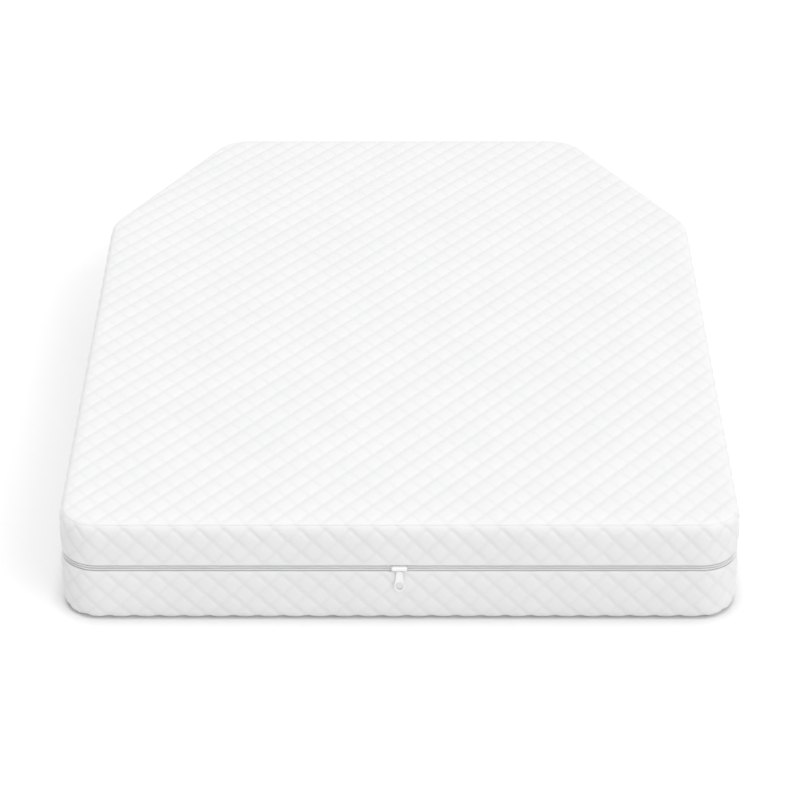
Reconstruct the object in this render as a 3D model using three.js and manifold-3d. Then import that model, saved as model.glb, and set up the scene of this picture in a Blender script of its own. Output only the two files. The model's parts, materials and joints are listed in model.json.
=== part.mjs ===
// A memory foam mattress with two cut corners, in a quilted cover that zips off.
//
// Millimetres, +Z up. The origin is the middle of the underside. The end with the zip's slider is at -Y, and
// the end with the cut corners is at +Y. Layers follow the plan outline, so most pieces are described by
// pairs [inset, height]: how far a point lies inside the plan outline, and how high over the underside.
import * as THREE from 'three';
import { mergeVertices } from 'three/addons/utils/BufferGeometryUtils.js';
import Module from 'manifold-3d';

const wasm = await Module();
wasm.setup();

// ---- Driving dimensions ----

const WIDTH = 1524;
const LENGTH = 1905;
const THICKNESS = 258;

const CUT_ACROSS = 284; // what a cut corner takes off the width, on each side
const CUT_ALONG = 493; // what it takes off the length
const FRONT_RADIUS = 90;
const CUT_RADIUS = 110;

const GAP = 0.3; // between pieces that touch

// Cover plies
const KNIT = 2.2; // face knit of the top panel and the bands
const BAND_FILLING = 4;
const BACKING = 0.8;
const BACKING_DEPTH = 7; // of the bands' backing, under the face of the knit
const BOTTOM_CLOTH = 3;

// Edges of the cover
const UPPER_INSET = 2.2; // the upper band stands in from the lower one
const SEAM_INSET = 12; // the top seam pulls in under the bulge of the band
const SEAM_HEIGHT = THICKNESS - 9;
const CROWN_INSET = 55; // where the top becomes flat
const SEAM_ROUND = 38; // height over which the upper band turns in under the seam
const LIP_ROUND = 26; // the same at each side of the zip
const HEM_INSET = 28; // where the lower band ends under the mattress
const HEM_ROUND = 40; // height over which the lower band turns under
const HEM_CLEAR = 0.5; // of the band's end over the floor

// Zip
const ZIP_HEIGHT = 138;
const LIP_GAP = 14; // between the two bands
const LIP_INSET = 5.5;
const TAPE_INSET = 8;
const TAPE_THICK = 0.8;
const TAPE_WIDTH = 14;
const TOOTH_ROW_HEIGHT = 3.8;
const TOOTH_ROW_DEPTH = 3.5;
const ROW_GAP = 2.2; // between the two rows, where the slider's wedge runs

// Slider
const SLIDER_LENGTH = 36;
const SLIDER_HEIGHT = 11.4;
const PLATE_THICK = 2;
const CAP = { length: 34, depth: 5.3, wall: 0.9, low: -2.5, high: 5.5, bevel: 1.2 };
const SLOT_WIDTH = 4.6;
const WEDGE = { length: 7, thick: 1.2, fromNose: 5 }; // it joins the plates and parts the teeth
const BACK_PLATE = { length: 30, height: 10, thick: 1.6 };
const FLANGE = { length: 28, clear: 0.3 }; // the front plate's edges, which guide the teeth

// Pull tab
const PIVOT_RADIUS = 1.2;
const PIVOT_CLEAR = 0.4;
const PIVOT_LENGTH = 12;
const PIVOT_OUT = 1.2; // the pivot's distance outside the plan outline, at the zip's height
const PULL_THICK = 1.6;
const SHOULDER_DROP = 5; // from the pivot to the tab's shoulder
const SHOULDER_WIDTH = 14;
const RING_DROP = 43.7; // from the pivot to the middle of the finger ring
const RING_HALF_WIDTH = 12;
const RING_HALF_HEIGHT = 14.8;
const HOLE_HALF_WIDTH = 9.3;
const HOLE_HALF_HEIGHT = 11.3;

// Inner layers
const SOCK_INSET = 12;
const SOCK_THICK = 1.2;
const SOCK_BOTTOM = 3.5;
const SOCK_TOP = THICKNESS - 13.4;
const SOCK_SEAM = { halfWidth: 680, low: 60, high: 72 }; // the mouth of the sock, at the front end
const CORE_TOP = 155;
const TRANSITION_TOP = 190;
const EASE = { inset: 13, height: 22 }; // the foam's lower edge is eased where the cover turns under

// ---- Plan outline ----

const plan = [
  { x: WIDTH / 2, y: -LENGTH / 2, radius: FRONT_RADIUS, steps: 7 },
  { x: WIDTH / 2, y: LENGTH / 2 - CUT_ALONG, radius: CUT_RADIUS, steps: 3 },
  { x: WIDTH / 2 - CUT_ACROSS, y: LENGTH / 2, radius: CUT_RADIUS, steps: 5 },
];
const mirrored = plan.map((corner) => ({ ...corner, x: -corner.x })).reverse();
const corners = [...plan, ...mirrored];

// The outward direction of the outline's straight run from one corner to the next.
function sideNormal(from, to) {
  return new THREE.Vector2(to.y - from.y, from.x - to.x).normalize();
}

// The outline moved inwards by inset, anticlockwise. Every inset gives the same number of points.
function outline(inset) {
  return corners.flatMap((corner, i) => {
    const before = sideNormal(corners.at(i - 1), corner);
    const after = sideNormal(corner, corners[(i + 1) % corners.length]);
    const reach = corner.radius / (1 + before.dot(after));
    const centre = new THREE.Vector2(corner.x, corner.y)
      .addScaledVector(before, -reach)
      .addScaledVector(after, -reach);
    const start = before.angle();
    const turn = THREE.MathUtils.euclideanModulo(after.angle() - start, 2 * Math.PI);
    return Array.from({ length: corner.steps + 1 }, (_, k) => {
      const angle = start + (turn * k) / corner.steps;
      const arm = corner.radius - inset;
      return new THREE.Vector2(centre.x + arm * Math.cos(angle), centre.y + arm * Math.sin(angle));
    });
  });
}

// ---- Solids that follow the outline ----

// A geometry from a list of outlines, one above another: walls between them, and what closes the list.
function loft(levels, closing) {
  const loops = levels.map(([inset, height]) =>
    outline(inset).map((p) => new THREE.Vector3(p.x, p.y, height)),
  );
  const count = loops[0].length;
  const index = [];
  const wall = (low, high) => {
    for (let i = 0; i < count; i += 1) {
      const j = (i + 1) % count;
      index.push(low * count + i, low * count + j, high * count + j);
      index.push(low * count + i, high * count + j, high * count + i);
    }
  };
  for (let level = 1; level < loops.length; level += 1) wall(level - 1, level);
  closing(index, wall, loops, count);
  const geometry = new THREE.BufferGeometry().setFromPoints(loops.flat());
  geometry.setIndex(index);
  return geometry;
}

// A closed block: the first level's face looks down and the last one's looks up.
function block(levels) {
  return loft(levels, (index, wall, loops, count) => {
    const faces = THREE.ShapeUtils.triangulateShape(outline(levels[0][0]), []);
    const top = (loops.length - 1) * count;
    for (const [a, b, c] of faces) {
      index.push(a, c, b);
      index.push(top + a, top + b, top + c);
    }
  });
}

// A closed ring: the section's points run up its outer side and down its inner side.
function ring(section) {
  return loft(section, (index, wall, loops) => wall(loops.length - 1, 0));
}

// Points of a curve moved into the mattress by depth, square to the curve.
function sunk(points, depth) {
  return points.map((point, i) => {
    const before = points[Math.max(i - 1, 0)];
    const after = points[Math.min(i + 1, points.length - 1)];
    const along = after.clone().sub(before).normalize();
    return [point.x + along.y * depth, point.y - along.x * depth];
  });
}

// One ply of a band, between two depths under the band's outer curve, which runs upwards.
function ply(curve, from, to) {
  return ring([...sunk(curve, from), ...sunk(curve, to).reverse()]);
}

// The part of a curve between two heights.
function between(curve, low, high) {
  return curve.filter((point) => point.y >= low && point.y <= high);
}

// ---- Outer curves of the cover, as (inset, height) ----

const upperLip = ZIP_HEIGHT + LIP_GAP / 2;
const lowerLip = ZIP_HEIGHT - LIP_GAP / 2;
const CURVE_STEPS = 5; // chords in each rounded stretch

function curvePoints(path, steps) {
  return path.getPoints(steps).filter((p, i, all) => i === 0 || p.distanceTo(all[i - 1]) > 1e-6);
}

const seamTop = SEAM_HEIGHT - GAP - 0.5; // the band's own edge, just under the top panel's
const lipFull = upperLip + LIP_ROUND;
const seamFull = seamTop - SEAM_ROUND;
const lipBend = THREE.MathUtils.lerp(UPPER_INSET, LIP_INSET, 0.25);
const seamBend = THREE.MathUtils.lerp(UPPER_INSET, SEAM_INSET, 0.25);
const upperCurve = curvePoints(
  new THREE.Path()
    .moveTo(LIP_INSET, upperLip)
    .bezierCurveTo(lipBend, upperLip + 2, UPPER_INSET, lipFull - LIP_ROUND / 2, UPPER_INSET, lipFull)
    .lineTo(UPPER_INSET, seamFull)
    .bezierCurveTo(UPPER_INSET, seamFull + SEAM_ROUND / 2, seamBend, seamTop - 6, SEAM_INSET, seamTop),
  CURVE_STEPS,
);

const lowerCurve = curvePoints(
  new THREE.Path()
    .moveTo(HEM_INSET, HEM_CLEAR)
    .bezierCurveTo(HEM_INSET * 0.4, HEM_CLEAR, 0, HEM_ROUND * 0.3, 0, HEM_ROUND)
    .lineTo(0, lowerLip - LIP_ROUND)
    .bezierCurveTo(0, lowerLip - LIP_ROUND / 2, LIP_INSET / 4, lowerLip - 2, LIP_INSET, lowerLip),
  CURVE_STEPS,
);

const crownCurve = curvePoints(
  new THREE.Path()
    .moveTo(SEAM_INSET, SEAM_HEIGHT)
    .bezierCurveTo(SEAM_INSET * 1.4, SEAM_HEIGHT + 6, CROWN_INSET / 2, THICKNESS, CROWN_INSET, THICKNESS),
  CURVE_STEPS,
);

// ---- Booleans ----

// A three.js geometry as a manifold-3d solid.
function solid(geometry) {
  const bare = geometry.clone();
  bare.deleteAttribute('normal');
  bare.deleteAttribute('uv');
  const merged = mergeVertices(bare, 1e-4);
  return new wasm.Manifold(
    new wasm.Mesh({
      numProp: 3,
      vertProperties: merged.getAttribute('position').array,
      triVerts: new Uint32Array(merged.index.array),
    }),
  );
}

// A manifold-3d solid as a three.js geometry.
function geometryOf(result) {
  const mesh = result.getMesh();
  const geometry = new THREE.BufferGeometry();
  geometry.setAttribute('position', new THREE.BufferAttribute(mesh.vertProperties, 3));
  geometry.setIndex(new THREE.BufferAttribute(mesh.triVerts, 1));
  return geometry;
}

// Geometries that run into each other, as one.
function joined(geometries) {
  return geometryOf(geometries.map(solid).reduce((sum, piece) => sum.add(piece)));
}

// ---- Cover ----

function topPanel() {
  const under = sunk(crownCurve, KNIT).reverse();
  return block([...under, ...crownCurve.map((p) => [p.x, p.y])]);
}

function topFilling() {
  const crown = sunk(crownCurve.slice(1), KNIT + GAP);
  const [edgeInset] = crown[0];
  const floor = SOCK_TOP + BACKING + 2 * GAP;
  return block([[edgeInset, floor], ...crown]);
}

function topBacking() {
  const edge = SEAM_INSET + KNIT + 2 * GAP;
  const floor = SOCK_TOP + GAP;
  return block([
    [edge, floor],
    [edge, floor + BACKING],
  ]);
}

function bottomPanel() {
  const edge = HEM_INSET + 2 * GAP;
  return block([
    [edge, 0],
    [edge, BOTTOM_CLOTH],
  ]);
}

// The filling and backing stop short of a band's sewn edges.
const SEWN_EDGE = 9;
const upperStuffed = between(upperCurve, upperLip + SEWN_EDGE, seamTop - 1.5 * SEWN_EDGE);
const lowerStuffed = between(lowerCurve, HEM_ROUND / 2, lowerLip - SEWN_EDGE);

function bandFilling(curve) {
  return ply(curve, KNIT + GAP, KNIT + GAP + BAND_FILLING);
}

function bandBacking(curve) {
  return ply(curve, BACKING_DEPTH, BACKING_DEPTH + BACKING);
}

// ---- Zip ----

const rowOuter = TAPE_INSET - GAP - TOOTH_ROW_DEPTH;

// The heights of a strip of the zip that starts at the rows' gap. side is 1 over the middle line, -1 under.
function stripHeights(side, height) {
  const near = ZIP_HEIGHT + (side * ROW_GAP) / 2;
  const far = near + side * height;
  return [Math.min(near, far), Math.max(near, far)];
}

function tape(side) {
  const [low, high] = stripHeights(side, TAPE_WIDTH);
  const inner = TAPE_INSET + TAPE_THICK;
  return ring([
    [TAPE_INSET, low],
    [TAPE_INSET, high],
    [inner, high],
    [inner, low],
  ]);
}

function toothRow(side) {
  const [low, high] = stripHeights(side, TOOTH_ROW_HEIGHT);
  const ease = 1; // the row's outer edges are rounded
  const inner = rowOuter + TOOTH_ROW_DEPTH;
  return ring([
    [rowOuter + ease, low],
    [rowOuter, low + ease],
    [rowOuter, high - ease],
    [rowOuter + ease, high],
    [inner, high],
    [inner, low],
  ]);
}

// ---- Slider and pull, in a frame at the zip's middle line on the plan outline, -Y outwards ----

function roundedRectangle(width, height, radius) {
  const shape = new THREE.Shape();
  const x = width / 2 - radius;
  const y = height / 2 - radius;
  shape.absarc(x, y, radius, 0, Math.PI / 2);
  shape.absarc(-x, y, radius, Math.PI / 2, Math.PI);
  shape.absarc(-x, -y, radius, Math.PI, 1.5 * Math.PI);
  shape.absarc(x, -y, radius, 1.5 * Math.PI, 2 * Math.PI);
  return shape;
}

// A shape drawn in X and Z, filling the space from one distance outside the outline to another.
function plate(shape, from, to, bevel = 0, curveSegments = 4) {
  const geometry = new THREE.ExtrudeGeometry(shape, {
    depth: to - from - bevel,
    bevelEnabled: bevel > 0,
    bevelThickness: bevel,
    bevelSize: bevel,
    bevelOffset: -bevel,
    bevelSegments: 2,
    curveSegments,
  });
  return geometry.translate(0, 0, from).rotateX(Math.PI / 2);
}

function boxBetween([x0, y0, z0], [x1, y1, z1]) {
  return new THREE.BoxGeometry(x1 - x0, y1 - y0, z1 - z0).translate(
    (x0 + x1) / 2,
    (y0 + y1) / 2,
    (z0 + z1) / 2,
  );
}

// The bevel at a plate's back, which lies behind where the plate starts, is cut off here.
function frontBevelled(shape, height, from, to, bevel) {
  const reach = SLIDER_LENGTH;
  const behind = boxBetween([-reach, -from, -reach], [reach, -from + 2 * bevel, reach]);
  return solid(plate(shape, from, to, bevel).translate(0, 0, height)).subtract(solid(behind));
}

const plateBack = -(rowOuter - GAP); // the front plate's back, as a distance outside the outline
const plateFront = plateBack + PLATE_THICK;
const tapeBack = TAPE_INSET + TAPE_THICK;
const backPlateFront = -(tapeBack + GAP);
const backPlateBack = backPlateFront - BACK_PLATE.thick;

function sliderBody() {
  const overlap = 1; // pieces run this far into each other before they are joined
  const flangeNear = ROW_GAP / 2 + TOOTH_ROW_HEIGHT + FLANGE.clear;
  const flangeFar = SLIDER_HEIGHT / 2;
  const flangeEnd = TAPE_INSET - 2 * GAP;
  const wedgeEnd = SLIDER_LENGTH / 2 - WEDGE.fromNose;
  const front = plate(roundedRectangle(SLIDER_LENGTH, SLIDER_HEIGHT, 4), plateBack, plateFront);
  const back = plate(
    roundedRectangle(BACK_PLATE.length, BACK_PLATE.height, 3),
    backPlateBack,
    backPlateFront,
  );
  const wedge = boxBetween(
    [wedgeEnd - WEDGE.length, -plateBack - overlap, -WEDGE.thick / 2],
    [wedgeEnd, -backPlateFront + overlap, WEDGE.thick / 2],
  );
  const flanges = [1, -1].map((side) =>
    boxBetween(
      [-FLANGE.length / 2, -plateBack - overlap, Math.min(side * flangeNear, side * flangeFar)],
      [FLANGE.length / 2, flangeEnd, Math.max(side * flangeNear, side * flangeFar)],
    ),
  );
  return joined([front, back, wedge, ...flanges]);
}

const capBack = plateFront + GAP;
const capFront = capBack + CAP.depth;

function sliderCap() {
  const slotTop = 2.2;
  const room = PIVOT_RADIUS + PIVOT_CLEAR;
  const pocketHalf = PIVOT_LENGTH / 2 + PIVOT_CLEAR;
  const pocket = boxBetween(
    [-pocketHalf, -(capFront - CAP.wall), -room],
    [pocketHalf, -capBack + 1, room],
  );
  const slot = boxBetween(
    [-SLOT_WIDTH / 2, -capFront - 1, -SLIDER_HEIGHT],
    [SLOT_WIDTH / 2, -capBack + 1, slotTop],
  );
  const middle = (CAP.low + CAP.high) / 2;
  const shape = roundedRectangle(CAP.length, CAP.high - CAP.low, 3);
  const cap = frontBevelled(shape, middle, capBack, capFront, CAP.bevel);
  return geometryOf(cap.subtract(solid(pocket)).subtract(solid(slot)));
}

// The tab hangs from a short bar that turns in the cap. Its flat plate widens from the shoulder to a ring.
function pullTab() {
  const half = PULL_THICK / 2;
  const tongueHalf = SLOT_WIDTH / 2 - PIVOT_CLEAR;
  const flat = plate(pullOutline(), -half, half, 0, 10);
  const tongue = boxBetween(
    [-tongueHalf, -half, -SHOULDER_DROP - 1],
    [tongueHalf, half, 0],
  );
  const pivot = new THREE.CylinderGeometry(PIVOT_RADIUS, PIVOT_RADIUS, PIVOT_LENGTH, 16).rotateZ(
    Math.PI / 2,
  );
  return joined([flat, tongue, pivot]);
}

// The flat of the tab in X and Z, from the pivot: two shoulders, edges that flare, and an oval ring.
function pullOutline() {
  const edge = SHOULDER_WIDTH / 2;
  const corner = 1.5;
  const top = -SHOULDER_DROP;
  const meet = 0.35; // how far over its middle, in radians, the ring takes over from the edges
  const meetX = RING_HALF_WIDTH * Math.cos(meet);
  const meetZ = -RING_DROP + RING_HALF_HEIGHT * Math.sin(meet);
  const shape = new THREE.Shape();
  shape.moveTo(meetX, meetZ);
  shape.bezierCurveTo(meetX - 2.2, meetZ + 9, edge + 0.8, top - 14, edge, top - corner);
  shape.quadraticCurveTo(edge, top, edge - corner, top);
  shape.lineTo(-edge + corner, top);
  shape.quadraticCurveTo(-edge, top, -edge, top - corner);
  shape.bezierCurveTo(-edge - 0.8, top - 14, -meetX + 2.2, meetZ + 9, -meetX, meetZ);
  shape.absellipse(0, -RING_DROP, RING_HALF_WIDTH, RING_HALF_HEIGHT, Math.PI - meet, 2 * Math.PI + meet);
  const hole = new THREE.Path();
  hole.absellipse(0, -RING_DROP, HOLE_HALF_WIDTH, HOLE_HALF_HEIGHT, 0, 2 * Math.PI, true);
  shape.holes.push(hole);
  return shape;
}

// ---- Foam and its sock ----

const foamInset = SOCK_INSET + SOCK_THICK + GAP;

// A block with an eased lower edge.
function easedBlock(inset, bottom, top) {
  return block([
    [inset + EASE.inset, bottom],
    [inset + EASE.inset * 0.3, bottom + EASE.height * 0.4],
    [inset, bottom + EASE.height],
    [inset, top],
  ]);
}

function fireSock() {
  const outside = easedBlock(SOCK_INSET, SOCK_BOTTOM, SOCK_TOP);
  const inside = easedBlock(
    SOCK_INSET + SOCK_THICK,
    SOCK_BOTTOM + SOCK_THICK,
    SOCK_TOP - SOCK_THICK,
  );
  const front = -LENGTH / 2 + SOCK_INSET;
  const mouth = boxBetween(
    [-SOCK_SEAM.halfWidth, front - 1, SOCK_SEAM.low],
    [SOCK_SEAM.halfWidth, front + SOCK_THICK + 1, SOCK_SEAM.high],
  );
  return geometryOf(solid(outside).subtract(solid(inside)).subtract(solid(mouth)));
}

function supportCore() {
  return easedBlock(foamInset, SOCK_BOTTOM + SOCK_THICK + GAP, CORE_TOP);
}

function foamLayer(bottom, top) {
  return block([
    [foamInset, bottom],
    [foamInset, top],
  ]);
}

// ---- Assembly ----

function material(color, roughness, metalness = 0) {
  return new THREE.MeshStandardMaterial({ color, roughness, metalness });
}

const group = new THREE.Group();

function add(name, geometry, finish, parent = group) {
  const mesh = new THREE.Mesh(geometry, finish);
  mesh.name = name;
  parent.add(mesh);
}

const knit = () => material('#f2f2f1', 0.85);
const filling = () => material('#f4f3ee', 0.95);
const backing = () => material('#ecebe6', 0.9);
const tapeCloth = () => material('#e6e6e4', 0.8);
const nylon = () => material('#efefed', 0.45);
const lacquer = () => material('#f6f6f6', 0.35);

add('cover_top_panel', topPanel(), knit());
add('top_quilt_filling', topFilling(), filling());
add('top_quilt_backing', topBacking(), backing());
add('cover_upper_band', ply(upperCurve, 0, KNIT), knit());
add('upper_band_filling', bandFilling(upperStuffed), filling());
add('upper_band_backing', bandBacking(upperStuffed), backing());
add('cover_lower_band', ply(lowerCurve, 0, KNIT), knit());
add('lower_band_filling', bandFilling(lowerStuffed), filling());
add('lower_band_backing', bandBacking(lowerStuffed), backing());
add('cover_bottom_panel', bottomPanel(), material('#e9e9e7', 0.9));

add('zip_upper_tape', tape(1), tapeCloth());
add('zip_lower_tape', tape(-1), tapeCloth());
add('zip_upper_teeth', toothRow(1), nylon());
add('zip_lower_teeth', toothRow(-1), nylon());

const zipFront = new THREE.Group();
zipFront.position.set(0, -LENGTH / 2, ZIP_HEIGHT);
group.add(zipFront);
add('zip_slider_body', sliderBody(), lacquer(), zipFront);
add('zip_slider_cap', sliderCap(), lacquer(), zipFront);

const pullPivot = new THREE.Group();
pullPivot.position.set(0, -PIVOT_OUT, 0);
zipFront.add(pullPivot);
add('zip_pull_tab', pullTab(), lacquer(), pullPivot);

add('fire_barrier_sock', fireSock(), material('#e4e1d6', 0.95));
const foamTop = SOCK_TOP - SOCK_THICK - GAP;
add('memory_foam_layer', foamLayer(TRANSITION_TOP + GAP, foamTop), material('#dfe6ea', 0.9));
add('transition_foam_layer', foamLayer(CORE_TOP + GAP, TRANSITION_TOP), material('#e9e4d2', 0.9));
add('support_foam_core', supportCore(), material('#efece4', 0.9));

export default group;
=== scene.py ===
# A memory foam mattress in a quilted cover that zips off: the finished surfaces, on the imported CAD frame.
import json
import math

import bmesh
import bpy
import numpy as np
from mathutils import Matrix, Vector


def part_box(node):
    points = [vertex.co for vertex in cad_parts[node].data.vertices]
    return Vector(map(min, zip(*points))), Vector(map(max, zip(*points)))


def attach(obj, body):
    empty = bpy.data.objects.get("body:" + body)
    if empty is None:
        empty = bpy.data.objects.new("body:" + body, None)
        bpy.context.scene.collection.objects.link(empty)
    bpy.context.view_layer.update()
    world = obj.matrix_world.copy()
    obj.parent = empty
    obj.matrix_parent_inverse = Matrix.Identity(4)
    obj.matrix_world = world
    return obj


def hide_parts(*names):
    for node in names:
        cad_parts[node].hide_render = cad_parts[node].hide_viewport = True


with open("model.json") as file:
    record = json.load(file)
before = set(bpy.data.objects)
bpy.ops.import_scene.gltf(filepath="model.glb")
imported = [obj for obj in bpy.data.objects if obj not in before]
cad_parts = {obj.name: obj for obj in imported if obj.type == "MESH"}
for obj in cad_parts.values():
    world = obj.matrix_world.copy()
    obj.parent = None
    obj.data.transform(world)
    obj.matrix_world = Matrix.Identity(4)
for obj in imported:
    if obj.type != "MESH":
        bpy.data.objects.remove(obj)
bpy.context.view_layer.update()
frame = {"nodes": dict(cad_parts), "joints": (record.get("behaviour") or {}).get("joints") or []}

# ---- Sizes, in metres, from the frame ----

MM = 0.001
lower_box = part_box("cover_lower_band")
upper_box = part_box("cover_upper_band")
top_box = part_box("cover_top_panel")
tape_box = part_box("zip_upper_tape")

WIDTH = lower_box[1].x - lower_box[0].x
LENGTH = lower_box[1].y - lower_box[0].y
THICKNESS = top_box[1].z
UPPER_LIP = upper_box[0].z
LOWER_LIP = lower_box[1].z
BAND_TOP = upper_box[1].z


def inset_of(box):
    """How far inside the plan outline a node's front edge lies."""
    return box[0].y + LENGTH / 2


# The plan: two cut corners at the far end, and the rounding of all six corners
CUT_ACROSS = 284 * MM
CUT_ALONG = 493 * MM
FRONT_RADIUS = 90 * MM
CUT_RADIUS = 110 * MM

# The cover's curves, as insets from the plan outline and heights
UPPER_INSET = inset_of(upper_box)
SEAM_INSET = inset_of(top_box)
SEAM_HEIGHT = THICKNESS - 9 * MM
CROWN_INSET = 55 * MM
SEAM_ROUND = 38 * MM
LIP_ROUND = 26 * MM
LIP_INSET = 5.5 * MM
HEM_INSET = 28 * MM
HEM_ROUND = 40 * MM
HEM_CLEAR = lower_box[0].z

# ---- Plan outline ----

half_width = WIDTH / 2
half_length = LENGTH / 2
plan = [
    (half_width, -half_length, FRONT_RADIUS),
    (half_width, half_length - CUT_ALONG, CUT_RADIUS),
    (half_width - CUT_ACROSS, half_length, CUT_RADIUS),
    (-half_width + CUT_ACROSS, half_length, CUT_RADIUS),
    (-half_width, half_length - CUT_ALONG, CUT_RADIUS),
    (-half_width, -half_length, FRONT_RADIUS),
]


def side_normal(start, end):
    return Vector((end[1] - start[1], start[0] - end[0])).normalized()


def corner_arcs():
    """Each corner's arc: its centre, radius, first angle and turn."""
    arcs = []
    for i, (x, y, radius) in enumerate(plan):
        before = side_normal(plan[i - 1], plan[i])
        after = side_normal(plan[i], plan[(i + 1) % len(plan)])
        centre = Vector((x, y)) - (before + after) * radius / (1 + before.dot(after))
        first = math.atan2(before.y, before.x)
        turn = (math.atan2(after.y, after.x) - first) % (2 * math.pi)
        arcs.append((centre, radius, first, turn))
    return arcs


ARCS = corner_arcs()


def plan_runs():
    """The outline's runs, anticlockwise from the middle of the front, as (length, start, normal angle,
    radius). An arc's start is its centre, and a straight run has no radius."""
    runs = []
    here = Vector((0, -half_length))
    for centre, radius, first, turn in ARCS:
        normal = Vector((math.cos(first), math.sin(first)))
        corner_start = centre + radius * normal
        runs.append(((corner_start - here).length, here, first, None))
        runs.append((radius * turn, centre, first, radius))
        last = first + turn
        here = centre + radius * Vector((math.cos(last), math.sin(last)))
    runs.append(((Vector((0, -half_length)) - here).length, here, ARCS[0][2] + 2 * math.pi, None))
    return runs


RUNS = plan_runs()
PERIMETER = sum(run[0] for run in RUNS)


def on_outline(along, inset):
    """Points at a distance along the outline from the middle of the front, moved inwards by inset."""
    along = np.mod(along, PERIMETER)
    x = np.zeros_like(along)
    y = np.zeros_like(along)
    passed = 0.0
    for length, start, angle, radius in RUNS:
        here = (along >= passed) & (along <= passed + length)
        far = along[here] - passed
        depth = inset[here]
        if radius is None:
            normal = np.array((math.cos(angle), math.sin(angle)))
            x[here] = start.x - normal[1] * far - normal[0] * depth
            y[here] = start.y + normal[0] * far - normal[1] * depth
        else:
            turned = angle + far / radius
            x[here] = start.x + (radius - depth) * np.cos(turned)
            y[here] = start.y + (radius - depth) * np.sin(turned)
        passed += length
    return x, y


def inset_at(x, y):
    """How far inside the outline points lie."""
    inset = np.full_like(x, 1e9)
    for centre, radius, first, turn in ARCS:
        for angle in (first, first + turn):
            nx, ny = math.cos(angle), math.sin(angle)
            inset = np.minimum(inset, (centre.x - x) * nx + (centre.y - y) * ny + radius)
    for centre, radius, first, turn in ARCS:
        dx, dy = x - centre.x, y - centre.y
        start = math.cos(first) * dy - math.sin(first) * dx > 0
        end = math.cos(first + turn) * dy - math.sin(first + turn) * dx < 0
        inset = np.where(start & end, radius - np.hypot(dx, dy), inset)
    return inset


def outline_polygon(inset, step=9 * MM):
    """The outline as a list of points: the ends of the straight runs, and close steps on the arcs."""
    points = []
    for centre, radius, first, turn in ARCS:
        steps = max(3, round(radius * turn / step))
        for k in range(steps + 1):
            angle = first + turn * k / steps
            arm = radius - inset
            points.append(centre + arm * Vector((math.cos(angle), math.sin(angle))))
    return points


# ---- Curves of the cover, as (inset, height) ----


def bezier(points, steps=24):
    t = np.linspace(0, 1, steps + 1)[:, None]
    a, b, c, d = (np.array(p) for p in points)
    return (1 - t) ** 3 * a + 3 * t * (1 - t) ** 2 * b + 3 * t * t * (1 - t) * c + t**3 * d


class Curve:
    """A section curve that runs upwards, measured by the distance along it."""

    def __init__(self, *stretches):
        points = np.vstack(stretches)
        step = np.hypot(*np.diff(points, axis=0).T)
        keep = np.append(True, step > 1e-7)
        self.points = points[keep]
        steps = np.diff(self.points, axis=0)
        self.along = np.append(0, np.cumsum(np.hypot(*steps.T)))
        self.length = self.along[-1]
        slope = np.gradient(self.points, self.along, axis=0)
        self.slope = slope / np.hypot(*slope.T)[:, None]

    def at(self, distance, depth):
        """The inset and height at a distance along the curve, sunk into the mattress by depth."""
        inset = np.interp(distance, self.along, self.points[:, 0])
        height = np.interp(distance, self.along, self.points[:, 1])
        across = np.interp(distance, self.along, self.slope[:, 0])
        up = np.interp(distance, self.along, self.slope[:, 1])
        return inset + up * depth, height - across * depth


lip_bend = UPPER_INSET + (LIP_INSET - UPPER_INSET) / 4
seam_bend = UPPER_INSET + (SEAM_INSET - UPPER_INSET) / 4
lip_full = UPPER_LIP + LIP_ROUND
seam_full = BAND_TOP - SEAM_ROUND
upper_curve = Curve(
    bezier([
        (LIP_INSET, UPPER_LIP),
        (lip_bend, UPPER_LIP + 2 * MM),
        (UPPER_INSET, lip_full - LIP_ROUND / 2),
        (UPPER_INSET, lip_full),
    ]),
    bezier([
        (UPPER_INSET, seam_full),
        (UPPER_INSET, seam_full + SEAM_ROUND / 2),
        (seam_bend, BAND_TOP - 6 * MM),
        (SEAM_INSET, BAND_TOP),
    ]),
)
lower_curve = Curve(
    bezier([
        (HEM_INSET, HEM_CLEAR),
        (HEM_INSET * 0.1, HEM_CLEAR),
        (0, HEM_ROUND * 0.1),
        (0, HEM_ROUND),
    ]),
    bezier([
        (0, LOWER_LIP - LIP_ROUND),
        (0, LOWER_LIP - LIP_ROUND / 2),
        (LIP_INSET / 4, LOWER_LIP - 2 * MM),
        (LIP_INSET, LOWER_LIP),
    ]),
)
crown_curve = bezier([
    (SEAM_INSET, SEAM_HEIGHT),
    (SEAM_INSET * 1.4, SEAM_HEIGHT + 6 * MM),
    (CROWN_INSET / 2, THICKNESS),
    (CROWN_INSET, THICKNESS),
])


def crown_height(inset):
    return np.interp(inset, crown_curve[:, 0], crown_curve[:, 1])


# ---- Quilting ----

QUILT_ACROSS = 55.5 * MM  # a diamond's width
QUILT_ALONG = 68.6 * MM  # its length on the top
QUILT_UP = 59 * MM  # its height on the bands
band_across = PERIMETER / round(PERIMETER / QUILT_ACROSS)
SEAM_PHASE = -5 * MM  # where a stitch line of the top and the upper band meet, from the middle of the front
LOWER_PHASE = 9 * MM  # where one of the lower band's lines meets the zip
RISING_SHIFT = 17 * MM  # how far the upper band's rising lines start beside its falling lines
LOWER_SHIFT = 12 * MM  # the same for the lower band

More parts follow.
